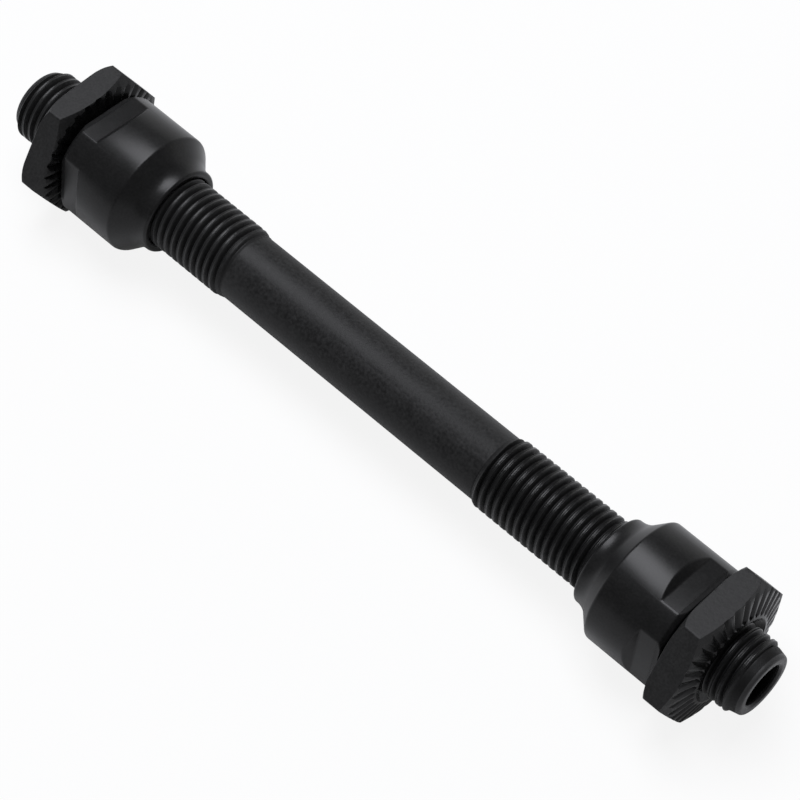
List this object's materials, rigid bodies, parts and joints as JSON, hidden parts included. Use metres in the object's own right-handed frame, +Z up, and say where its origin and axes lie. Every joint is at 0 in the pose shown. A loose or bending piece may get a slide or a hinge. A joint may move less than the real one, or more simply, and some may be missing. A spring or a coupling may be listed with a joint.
{
  "type": "hollow hub axle",
  "caption": "Hollow threaded front hub axle for a quick-release skewer, with screw-on bearing cones that carry ball races and spanner flats, and thin serrated hexagon locknuts.",
  "frame": {"origin": "middle of the axle's length, on its axis", "axes": "+X along the axle towards the end where the axle stands out less, +Z up, square to the upper flats of the locknuts, +Y completes the right-handed frame"},
  "size_m": [0.108, 0.0196, 0.017],
  "materials": {
    "axle_black_steel": "rolled thread, black oxide, satin",
    "cone_black_steel": "turned and hardened, black oxide, satin",
    "nut_black_steel": "pressed, black oxide, satin"
  },
  "bodies": {
    "axle": {"hollow_axle": "axle_black_steel"},
    "left_cone": {"left_cone": "cone_black_steel"},
    "right_cone": {"right_cone": "cone_black_steel"},
    "left_locknut": {"left_locknut": "nut_black_steel"},
    "right_locknut": {"right_locknut": "nut_black_steel"}
  },
  "joints": [
    {"name": "left_locknut_screw", "type": "slide", "parent": "axle", "child": "left_locknut", "axis": [-1, 0, 0], "range_m": [0, 0.0071]},
    {"name": "right_locknut_screw", "type": "slide", "parent": "axle", "child": "right_locknut", "axis": [1, 0, 0], "range_m": [-0.00055, 0.005]},
    {"name": "left_cone_screw", "type": "slide", "parent": "axle", "child": "left_cone", "axis": [1, 0, 0], "range_m": [0, 0.0106]},
    {"name": "right_cone_screw", "type": "slide", "parent": "axle", "child": "right_cone", "axis": [-1, 0, 0], "range_m": [0, 0.0155]}
  ]
}
